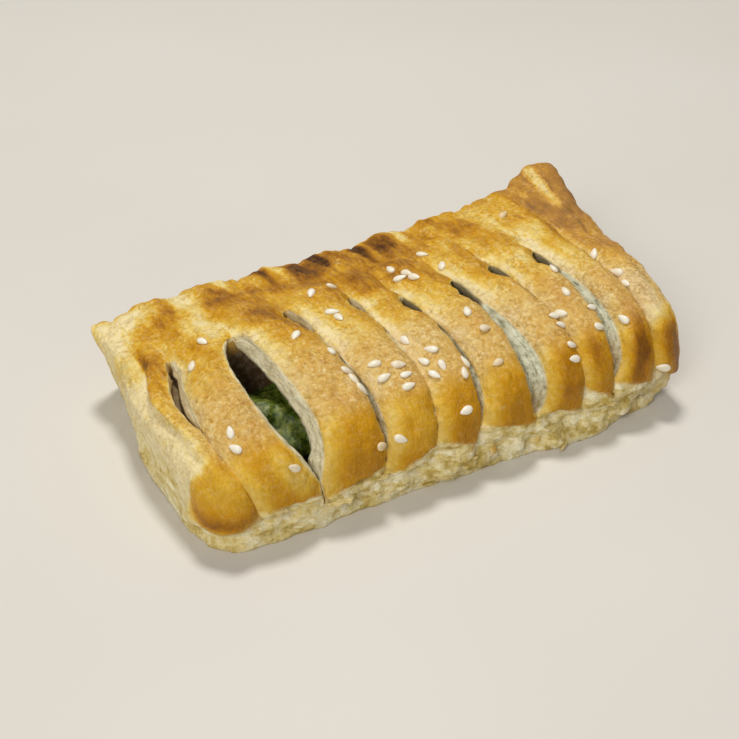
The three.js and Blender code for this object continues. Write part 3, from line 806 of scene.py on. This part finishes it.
def make_filling():
    """The roll of bean paste: a rounded block with soft lumps and a grainy skin."""
    turn = np.linspace(0, 2 * np.pi, FILLING_AROUND, endpoint=False)[None, :]
    rise = np.linspace(-np.pi / 2, np.pi / 2, FILLING_RINGS)[:, None]
    unit = np.stack([np.sin(rise) + 0 * turn, np.cos(rise) * np.cos(turn), np.cos(rise) * np.sin(turn)], -1)
    power = 2 / FILLING_SQUARE
    points = np.array(FILLING_MIDDLE) + np.array(FILLING_HALF) * np.sign(unit) * np.abs(unit) ** power
    points, faces, _ = weld(points.reshape(-1, 3), tube_faces(*points.shape[:2]))
    made = new_piece("bean_filling", points, faces)
    points = to_plan(vertex_vectors(made, "co"))
    lumps = noise(points, 6.5, 41) + 1.1 * noise(points, 3.2, 42) + 0.3 * noise(points, 1.3, 43)
    from_dome = np.linalg.norm(points - FILLING_DOME, axis=1) / FILLING_DOME_RADIUS
    lumps += FILLING_DOME_HEIGHT * smooth(1, 0.2, from_dome)
    push_out(made, points, vertex_vectors(made, "normal") * lumps[:, None])
    return made


def tube_faces(rings, around):
    """Faces of rings of points joined into a tube."""
    index = np.arange(rings * around).reshape(rings, around)
    after = np.roll(index, -1, 1)
    return np.stack([index[:-1], after[:-1], after[1:], index[1:]], -1).reshape(-1, 4)


class Draws:
    """Repeatable draws from 0 to 1, the same as the solid's."""

    def __init__(self, start):
        self.state = start

    def next(self):
        self.state = self.state * 16807 % 2147483647
        return self.state / 2147483647

    def between(self, low, high):
        return mix(low, high, self.next())


def on_skin(line, way):
    """One point of the skin with its valleys and bumps."""
    line, way = np.array([line]), np.array([way])
    point = surface(line, way)
    return (point + outward(line, way) * relief(line, way, point[:, 0])[:, None])[0]


def clear_of_cuts(way, x):
    """Whether a seed at a place has skin under all of it."""
    for index, slit in enumerate(SLITS, 1):
        left, right = cut_gaps(slit, np.array(way))
        offset = x - on_skin(float(index), way)[0]
        if right > 0 and -left - SEED_WIDTH / 2 <= offset <= right + SEED_WIDTH / 2:
            return False
    return True


def seed_places():
    """Places on the skin by patch, kept apart and off the cuts, each with a heading."""
    draws = Draws(SEED_START)
    places = []
    for line_from, line_to, way_from, way_to, count in SEED_PATCHES:
        for _ in range(count):
            for _ in range(SEED_TRIES):
                line = draws.between(line_from, line_to)
                way = draws.between(way_from, way_to)
                spot = on_skin(line, way)
                apart = all(np.linalg.norm(spot - other) > SEED_APART for other, _ in places)
                if apart and clear_of_cuts(way, spot[0]):
                    places.append((spot, math.pi * draws.next()))
                    break
    return places


def seed_shape():
    """A grain pointed at one end, as rings of points along its length."""
    along = np.linspace(0, 1, SEED_RINGS)
    girth = np.sin(np.pi * along ** 0.82) ** 0.65 * (1 - 0.2 * along)
    girth = girth / girth.max()
    turn = np.linspace(0, 2 * np.pi, SEED_AROUND, endpoint=False)
    x = (along - 0.5)[:, None] * SEED_LENGTH + 0 * turn
    y = girth[:, None] * np.cos(turn) * SEED_WIDTH / 2
    z = girth[:, None] * np.sin(turn) * SEED_THICK / 2
    points = np.stack([x, y, z], -1)
    return weld(points.reshape(-1, 3), tube_faces(*x.shape))[:2]


def nearest(tree, spot):
    """The nearest point of the crust to a spot, and the way out from it."""
    place, normal, _, _ = tree.find_nearest(Vector(to_frame(spot)))
    return to_plan(place), np.array(normal)


def flat_basis(normal, direction):
    """Axes along the crust: a front in about that direction, and the side."""
    front = direction - normal * direction.dot(normal)
    front /= np.linalg.norm(front)
    return front, np.cross(normal, front)


def joined_piece(name, shapes, shape_faces, **looks):
    """One piece from many shapes with the same faces, and a number for each shape's look."""
    count = len(shapes[0])
    faces = [[count * k + corner for corner in face] for k in range(len(shapes)) for face in shape_faces]
    made = new_piece(name, np.concatenate(shapes), faces)
    add_values(made, **{look: np.repeat(numbers, count) for look, numbers in looks.items()})
    return made


def make_seeds(tree):
    """All the sesame seeds as one mesh lying on the crust, each with its own share of toasting."""
    looks = Draws(LOOKS_START)
    shape, shape_faces = seed_shape()
    seeds, toast = [], []
    for spot, heading in seed_places():
        near, normal = nearest(tree, spot)
        turn = heading + (math.pi if looks.next() > 0.5 else 0)
        front, side = flat_basis(normal, np.array((math.cos(turn), math.sin(turn), 0.0)))
        size = looks.between(0.92, 1.08)
        centre = near + normal * (SEED_THICK / 2 - SEED_SUNK)
        seeds.append(centre + size * (shape @ np.stack([front, side, normal])))
        toast.append(looks.next())
    return joined_piece("sesame_seeds", seeds, shape_faces, toast=toast)


def flake_sheet(place, normal, looks):
    """A thin torn leaf of dough that hangs from its upper edge, as a closed sheet of points."""
    down, side = flat_basis(normal, np.array((0.0, 0.0, -1.0)))
    width = looks.between(3.0, 7.0)
    drop = looks.between(0.9, 1.9)
    lift = looks.between(0.05, 0.25)
    slant = looks.between(-0.25, 0.25)
    ragged = np.array([looks.between(0.35, 1.0) for _ in range(FLAKE_COLUMNS)])
    across = np.linspace(-1, 1, FLAKE_COLUMNS)[:, None]
    along = np.linspace(0, 1, FLAKE_ROWS)[None, :]
    reach = along * ragged[:, None] * (1 - 0.5 * across ** 4)
    run = across * width / 2 * (1 - 0.15 * along)
    out = 0.05 + lift * reach ** 1.5 - 0.35 * (1 - along)
    points = (place + side * run[..., None] + down * (reach * drop + slant * run)[..., None]
              + normal * out[..., None])
    inner = points - normal * FLAKE_THICK
    return np.concatenate([points.reshape(-1, 3), inner.reshape(-1, 3)])


def flake_faces():
    """Faces of a flake's two skins and its rim."""
    count = FLAKE_COLUMNS * FLAKE_ROWS
    outer = grid_faces(FLAKE_COLUMNS, FLAKE_ROWS, 0)
    inner = grid_faces(FLAKE_COLUMNS, FLAKE_ROWS, count)[:, ::-1]
    index = np.arange(count).reshape(FLAKE_COLUMNS, FLAKE_ROWS)
    loop = np.concatenate([index[:-1, 0], index[-1, :-1], index[:0:-1, -1], index[0, :0:-1]])
    after = np.roll(loop, -1)
    rim = np.stack([loop, loop + count, after + count, after], -1)
    return np.concatenate([outer, inner, rim])


def make_flakes(tree):
    """The torn flakes along the foot as one mesh."""
    looks = Draws(LOOKS_START + 1)
    sheets, tone = [], []
    for x_from, x_to, y_from, y_to, z_from, z_to, count in FLAKE_PATCHES:
        for k in range(count):
            share = (k + looks.next()) / count
            spot = (mix(x_from, x_to, share), mix(y_from, y_to, share), looks.between(z_from, z_to))
            place, normal = nearest(tree, spot)
            sheet = flake_sheet(place, normal, looks)
            sheet[:, 2] = np.maximum(sheet[:, 2], 0.1)
            sheets.append(sheet)
            tone.append(looks.next())
    return joined_piece("pastry_flakes", sheets, flake_faces(), tone=tone)


class Tree:
    """Short calls for building a material's nodes."""

    def __init__(self, name):
        self.material = bpy.data.materials.new(name)
        self.material.use_nodes = True
        self.nodes = self.material.node_tree.nodes
        self.links = self.material.node_tree.links
        self.shader = self.nodes["Principled BSDF"]

    def put(self, socket, value):
        if isinstance(value, bpy.types.NodeSocket):
            self.links.new(value, socket)
        else:
            socket.default_value = value

    def add(self, kind, output, inputs, **settings):
        """A new node's output, from its inputs by name or number and its settings."""
        node = self.nodes.new("ShaderNode" + kind)
        for name, setting in settings.items():
            setattr(node, name, setting)
        for key, value in inputs.items():
            self.put(node.inputs[key], value)
        return node.outputs[output]

    def value(self, name):
        return self.add("Attribute", "Fac", {}, attribute_name=name)

    def place(self, scale=(1, 1, 1)):
        return self.add("Mapping", "Vector", {"Vector": self.add("TexCoord", "Object", {}), "Scale": scale})

    def vector(self, x, y, z):
        return self.add("CombineXYZ", 0, {0: x, 1: y, 2: z})

    def noise(self, scale, detail=3.0, roughness=0.55, vector=None, output="Fac"):
        inputs = {"Vector": vector or self.place(), "Scale": scale, "Detail": detail, "Roughness": roughness}
        return self.add("TexNoise", output, inputs)

    def cells(self, vector, feature, output):
        return self.add("TexVoronoi", output, {"Vector": vector, "Scale": 1.0}, feature=feature)

    def math(self, operation, first, second=0.0):
        return self.add("Math", 0, {0: first, 1: second}, operation=operation)

    def times(self, first, second):
        return self.math("MULTIPLY", first, second)

    def plus(self, first, second):
        return self.math("ADD", first, second)

    def span(self, value, low, high, to_low=0.0, to_high=1.0):
        """A value's place from low to high, as a number between the two ends given."""
        return self.add("MapRange", "Result", dict(enumerate((value, low, high, to_low, to_high))))

    def blend(self, share, first, second):
        inputs = {0: share}
        for key, colour in ((6, first), (7, second)):
            inputs[key] = colour if isinstance(colour, bpy.types.NodeSocket) else (*colour, 1.0)
        return self.add("Mix", 2, inputs, data_type="RGBA")

    def ramp(self, value, stops):
        node = self.nodes.new("ShaderNodeValToRGB")
        elements = node.color_ramp.elements
        while len(elements) < len(stops):
            elements.new(0.5)
        for element, (position, colour) in zip(elements, stops):
            element.position = position
            element.color = (*colour, 1.0)
        self.put(node.inputs["Fac"], value)
        return node.outputs["Color"]

    def bump(self, height, strength, distance):
        inputs = {"Height": height, "Strength": strength, "Distance": distance}
        self.put(self.shader.inputs["Normal"], self.add("Bump", "Normal", inputs))

    def colour(self, colour, roughness):
        self.put(self.shader.inputs["Base Color"], colour)
        self.put(self.shader.inputs["Roughness"], roughness)


def glazed_colour(tree, threads, crackle, crease):
    """The egg-glazed skin: pale yellow through gold to dark brown, with a painted sheen, painted glints as
    pale flecks, and painted shade as darker pits and creases.
    """
    fine = tree.span(tree.value("way"), 1.9, 2.3, 1.0, 0.45)
    fine = tree.times(fine, tree.span(tree.value("tan"), 0.0, 1.0, 1.0, 1.2))
    fine = tree.times(fine, tree.span(tree.noise(170, 2.0), 0.35, 0.65, 0.55, 1.2))
    veins = tree.times(fine, tree.span(threads, 0.3, 0.7, -0.16, 0.16))
    glazed = tree.ramp(tree.plus(tree.value("brown"), veins), (
        (0.00, (0.88, 0.74, 0.40)),
        (0.15, (0.83, 0.63, 0.19)),
        (0.32, (0.73, 0.44, 0.040)),
        (0.50, (0.60, 0.285, 0.004)),
        (0.68, (0.37, 0.145, 0.004)),
        (0.85, (0.16, 0.056, 0.005)),
        (1.00, (0.055, 0.018, 0.003)),
    ))
    # Painted sheen: pinkish tan blended over the glaze
    glaze_with_sheen = tree.blend(tree.times(tree.value("tan"), 0.5), glazed, (0.62, 0.38, 0.15))
    # Painted glints: pale flecks from the crackle, strongest on pale skin and in the painted sheen
    pale = tree.times(fine, tree.span(tree.value("brown"), 0.3, 0.75, 1.0, 0.05))
    flecks = tree.times(pale, tree.span(crackle, 0.5, 0.72, 0.0, 0.8))
    glaze_with_sheen = tree.blend(flecks, glaze_with_sheen, (0.90, 0.73, 0.38))
    # Painted shade: darker brown in the pits and along the creases
    pits = tree.span(crackle, 0.46, 0.25, 0.0, 0.65)
    lines = tree.plus(pits, tree.span(crease, 0.0, 0.05, 0.35, 0.0))
    return tree.blend(tree.times(fine, lines), glaze_with_sheen, (0.36, 0.17, 0.02))


def torn_scraps(tree, feature, output):
    """Scraps of torn dough about a millimetre across, wider than they are tall, with bent edges."""
    wave = tree.noise(900.0, 2.0, 0.5, output="Color")
    inputs = {0: wave, 1: (0.9, 0.9, 0.9), 2: tree.place((480, 480, 800))}
    bent = tree.add("VectorMath", 0, inputs, operation="MULTIPLY_ADD")
    return tree.cells(bent, feature, output)


def dough_colour(tree):
    """Bare baked dough: cream with whiter torn bits and yellow-brown crevices between them that are painted
    shade, darker towards the right end, partly browner dough and partly painted shade.
    """
    layers = tree.noise(1.0, 4.0, 0.6, tree.place((150, 150, 420)))
    patches = tree.noise(560, 4.0, 0.65)
    tone = tree.plus(tree.times(layers, 0.6), tree.times(patches, 0.4))
    scraps = tree.span(torn_scraps(tree, "F1", "Color"), 0.2, 0.8, -0.05, 0.05)
    strength = tree.span(tree.value("way"), 2.1, 2.6, 0.8, 1.0)
    tone = tree.plus(scraps, tree.math("SUBTRACT", tone, 0.5))
    tone = tree.plus(0.5, tree.times(strength, tone))
    dough = tree.ramp(tone, (
        (0.28, (0.36, 0.23, 0.055)),
        (0.38, (0.53, 0.38, 0.09)),
        (0.47, (0.79, 0.64, 0.27)),
        (0.60, (0.94, 0.86, 0.58)),
    ))
    # Darker towards the right end: partly browner dough, partly painted shade
    dough = tree.blend(tree.span(tree.value("line"), 8.4, 9.8, 0.0, 0.5), dough, (0.44, 0.30, 0.11))
    # Painted shade along the edges between the torn scraps
    crevice_shade = tree.span(torn_scraps(tree, "DISTANCE_TO_EDGE", "Distance"), 0.0, 0.07, 0.45, 0.0)
    return tree.blend(tree.times(strength, crevice_shade), dough, (0.50, 0.36, 0.12))


def cut_colour(tree):
    """The cut walls: cream or grey-green with dark flecks, and inside a brown that darkens with depth, partly
    the inner dough's own colour and partly painted shade, down to near-black painted shade.
    """
    run = tree.times(tree.value("way"), 8.0)
    deep = tree.times(tree.value("depth"), 1.6)
    side = tree.times(tree.value("line"), 7.0)
    grain = tree.noise(1.0, 4.0, 0.65, tree.vector(run, deep, side))
    cream = tree.ramp(grain, (
        (0.34, (0.46, 0.38, 0.21)),
        (0.48, (0.68, 0.60, 0.37)),
        (0.66, (0.84, 0.77, 0.54)),
    ))
    grey = tree.ramp(grain, (
        (0.35, (0.20, 0.19, 0.11)),
        (0.46, (0.54, 0.54, 0.38)),
        (0.64, (0.78, 0.78, 0.60)),
    ))
    wall = tree.blend(tree.value("green"), cream, grey)
    bubbles = tree.span(tree.noise(600, 3.0), 0.45, 0.68)
    far_inside = tree.blend(bubbles, (0.13, 0.075, 0.032), (0.25, 0.185, 0.115))
    # Inside a cut: brown dough that darkens with depth, partly painted shade, then near-black painted shade
    # by the black value; the gloom blends the wall into it as painted shade
    near_inside = tree.blend(tree.span(tree.value("depth"), 1.5, 5.0), (0.56, 0.31, 0.06), far_inside)
    inside = tree.blend(tree.value("black"), near_inside, (0.008, 0.005, 0.002))
    return tree.blend(tree.value("gloom"), wall, inside)


def crust_material():
    tree = Tree("baked_crust")
    bare, wall = tree.value("bare"), tree.value("wall")
    threads = tree.noise(1.0, 5.0, 0.7, tree.place((1300, 380, 380)))
    crackle = tree.noise(1000, 4.0, 0.7)
    crease = tree.math("ABSOLUTE", tree.math("SUBTRACT", tree.noise(260, 4.0, 0.6), 0.5))
    colour = tree.blend(bare, glazed_colour(tree, threads, crackle, crease), dough_colour(tree))
    colour = tree.blend(wall, colour, cut_colour(tree))
    gloss = tree.span(tree.noise(500, 3.0), 0.3, 0.7, 0.18, 0.34)
    gloss = tree.math("MAXIMUM", gloss, tree.span(tree.value("way"), 0.0, 0.9, 0.65, 0.2))
    matt = tree.times(tree.math("MAXIMUM", bare, tree.times(wall, 1.6)), 0.6)
    tree.colour(colour, tree.math("MAXIMUM", gloss, matt))
    tree.shader.inputs["Specular IOR Level"].default_value = 0.12
    rough = tree.math("SUBTRACT", tree.times(crease, 2.0), tree.plus(threads, crackle))
    scraps = tree.times(bare, torn_scraps(tree, "F1", "Color"))
    rough = tree.plus(rough, scraps)
    tree.bump(rough, 0.5, 0.0008)
    return tree.material


def filling_material():
    tree = Tree("bean_paste")
    grain = tree.noise(1300, 5.0, 0.65)
    lumps = tree.noise(300, 3.0)
    tone = tree.plus(tree.times(grain, 0.45), tree.times(lumps, 0.55))
    colour = tree.ramp(tone, (
        (0.35, (0.006, 0.014, 0.001)),
        (0.47, (0.065, 0.105, 0.008)),
        (0.62, (0.310, 0.340, 0.050)),
    ))
    tree.colour(colour, 0.22)
    tree.bump(grain, 0.6, 0.0005)
    return tree.material


def seed_material():
    tree = Tree("sesame_hull")
    streak = tree.noise(1200, 3.0)
    toast = tree.times(tree.value("toast"), 0.85)
    tone = tree.plus(toast, tree.times(streak, 0.15))
    tree.colour(tree.ramp(tone, (
        (0.0, (0.87, 0.82, 0.69)),
        (0.84, (0.82, 0.73, 0.55)),
        (0.95, (0.68, 0.47, 0.19)),
    )), 0.38)
    tree.bump(streak, 0.15, 0.0002)
    return tree.material


def flake_material():
    tree = Tree("torn_dough")
    mottle = tree.noise(700, 3.0)
    toast = tree.times(tree.value("tone"), tree.span(mottle, 0.3, 0.7, 0.0, 0.5))
    tree.colour(tree.blend(toast, dough_colour(tree), (0.62, 0.40, 0.10)), 0.6)
    tree.bump(mottle, 0.3, 0.0003)
    return tree.material


def floor_material():
    tree = Tree("pale_floor")
    colour = tree.ramp(tree.noise(6, 2.0), ((0.3, (0.66, 0.625, 0.565)), (0.7, (0.69, 0.66, 0.60))))
    tree.colour(colour, 0.6)
    return tree.material


def make_floor():
    """A wide sheet that curves up behind the pastry."""
    profile = [(-FLOOR_FRONT, 0.0), (FLOOR_BEND, 0.0)]
    for angle in np.linspace(0.15, math.pi / 2, 10):
        reach = FLOOR_BEND + FLOOR_RADIUS * math.sin(angle)
        profile.append((reach, FLOOR_RADIUS - FLOOR_RADIUS * math.cos(angle)))
    profile.append((FLOOR_BEND + FLOOR_RADIUS, FLOOR_TOP))
    turn = math.radians(PASTRY_TURN)
    forward = np.array((math.sin(turn), math.cos(turn)))
    side = np.array((math.cos(turn), -math.sin(turn)))
    places = []
    for reach, height in profile:
        for across in (-FLOOR_HALF, FLOOR_HALF):
            places.append((*(forward * reach + side * across), height))
    faces = [(2 * k, 2 * k + 1, 2 * k + 3, 2 * k + 2) for k in range(len(profile) - 1)]
    floor = smooth_mesh("floor", places, faces)
    floor.data.materials.append(floor_material())


def add_light(name, place, size, power):
    """A round light that faces the pastry."""
    data = bpy.data.lights.new(name, "AREA")
    data.shape = "DISK"
    data.size = size
    data.energy = power
    data.color = LIGHT_COLOUR
    made = add_object(name, data)
    made.location = place
    made.rotation_euler = (-Vector(place)).to_track_quat("-Z", "Y").to_euler()


def make_light():
    for name, light in LIGHTS.items():
        add_light(name, *light)
    world = bpy.data.worlds.new("soft_room")
    world.use_nodes = True
    room = world.node_tree.nodes["Background"]
    room.inputs["Color"].default_value = ROOM_COLOUR
    room.inputs["Strength"].default_value = ROOM_STRENGTH
    bpy.context.scene.world = world
    bpy.context.scene.view_settings.view_transform = "Standard"


def make_camera():
    data = bpy.data.cameras.new("photo_view")
    data.sensor_width = 36.0
    data.lens = FOCAL_PIXELS / IMAGE_PIXELS * data.sensor_width
    data.clip_start = 0.01
    made = add_object("photo_view", data)
    made.location = to_frame(CAMERA_PLACE)
    made.rotation_euler = (math.radians(90 - CAMERA_TILT), 0, math.radians(-PASTRY_TURN))
    bpy.context.scene.camera = made


def dress(made, node, material):
    """Gives a piece its material and its place in the frame."""
    made.data.materials.append(material)
    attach(made, "root")
    if node:
        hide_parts(node)


make_camera()
make_light()
make_floor()
crust = make_crust()
filling = make_filling()
crust_tree = BVHTree.FromObject(crust, bpy.context.evaluated_depsgraph_get())
seeds = make_seeds(crust_tree)
flakes = make_flakes(crust_tree)
dress(crust, "crust", crust_material())
dress(filling, "filling", filling_material())
dress(seeds, None, seed_material())
dress(flakes, None, flake_material())
